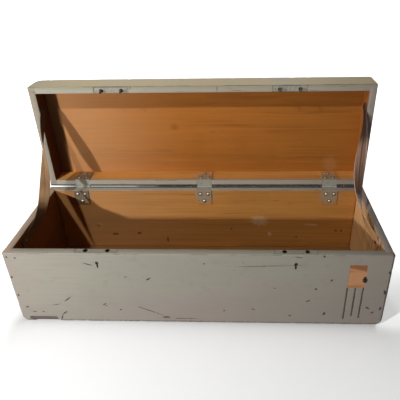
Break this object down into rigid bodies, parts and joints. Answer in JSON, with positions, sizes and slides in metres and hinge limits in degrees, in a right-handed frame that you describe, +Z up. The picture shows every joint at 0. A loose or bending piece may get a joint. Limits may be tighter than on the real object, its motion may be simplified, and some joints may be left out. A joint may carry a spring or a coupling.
{
  "type": "travel trunk",
  "caption": "Long, low painted wooden travel trunk with a hinged lid held open by leather straps, chest locks in the front board and bare wood inside.",
  "frame": {"origin": "middle of the box's underside", "axes": "+X to the right seen from the front, along the trunk's length; +Y from front to back; +Z up"},
  "size_m": [1, 0.405, 0.575],
  "materials": {
    "painted_wood": "worn matt grey paint outside and on the rims, bare aged softwood inside",
    "hinge_iron": "dull, lightly rusted sheet iron",
    "lock_iron": "worn grey paint over sheet iron",
    "screw_steel": "worn bright steel",
    "strap_leather": "dry, creased tan leather"
  },
  "bodies": {
    "box": {"box_front": "painted_wood", "box_back": "painted_wood", "box_left_end": "painted_wood", "box_right_end": "painted_wood", "box_bottom": "painted_wood", "hinge_left_box_leaf": "hinge_iron", "hinge_left_pin": "screw_steel", "hinge_left_box_screw_1": "screw_steel", "hinge_left_box_screw_2": "screw_steel", "hinge_left_box_screw_3": "screw_steel", "hinge_middle_box_leaf": "hinge_iron", "hinge_middle_pin": "screw_steel", "hinge_middle_box_screw_1": "screw_steel", "hinge_middle_box_screw_2": "screw_steel", "hinge_middle_box_screw_3": "screw_steel", "hinge_right_box_leaf": "hinge_iron", "hinge_right_pin": "screw_steel", "hinge_right_box_screw_1": "screw_steel", "hinge_right_box_screw_2": "screw_steel", "hinge_right_box_screw_3": "screw_steel", "lock_left_case": "lock_iron", "lock_left_cap": "lock_iron", "lock_left_cap_screw_1": "screw_steel", "lock_left_cap_screw_2": "screw_steel", "strap_left": "strap_leather", "strap_left_box_screw": "screw_steel", "lock_right_case": "lock_iron", "lock_right_cap": "lock_iron", "lock_right_cap_screw_1": "screw_steel", "lock_right_cap_screw_2": "screw_steel", "strap_right": "strap_leather", "strap_right_box_screw": "screw_steel"},
    "lid": {"lid_front": "painted_wood", "lid_back": "painted_wood", "lid_left_end": "painted_wood", "lid_right_end": "painted_wood", "lid_top": "painted_wood", "hinge_left_lid_leaf": "hinge_iron", "hinge_left_lid_screw_1": "screw_steel", "hinge_left_lid_screw_2": "screw_steel", "hinge_left_lid_screw_3": "screw_steel", "hinge_middle_lid_leaf": "hinge_iron", "hinge_middle_lid_screw_1": "screw_steel", "hinge_middle_lid_screw_2": "screw_steel", "hinge_middle_lid_screw_3": "screw_steel", "hinge_right_lid_leaf": "hinge_iron", "hinge_right_lid_screw_1": "screw_steel", "hinge_right_lid_screw_2": "screw_steel", "hinge_right_lid_screw_3": "screw_steel", "lock_left_lid_plate": "lock_iron", "lock_left_plate_screw_1": "screw_steel", "lock_left_plate_screw_2": "screw_steel", "strap_left_lid_screw": "screw_steel", "lock_right_lid_plate": "lock_iron", "lock_right_plate_screw_1": "screw_steel", "lock_right_plate_screw_2": "screw_steel", "strap_right_lid_screw": "screw_steel"},
    "lock_left_bolt": {"lock_left_bolt": "screw_steel"},
    "lock_right_bolt": {"lock_right_bolt": "screw_steel"}
  },
  "joints": [
    {"name": "lid_hinge", "type": "hinge", "parent": "box", "child": "lid", "pos_m": [0, 0.1675, 0.2425], "axis": [1, 0, 0], "range_deg": [0, 90], "deforming": ["strap_left", "strap_right"]},
    {"name": "lock_left_slide", "type": "slide", "parent": "box", "child": "lock_left_bolt", "axis": [1, 0, 0], "range_m": [0, 0.008]},
    {"name": "lock_right_slide", "type": "slide", "parent": "box", "child": "lock_right_bolt", "axis": [1, 0, 0], "range_m": [0, 0.008]}
  ]
}
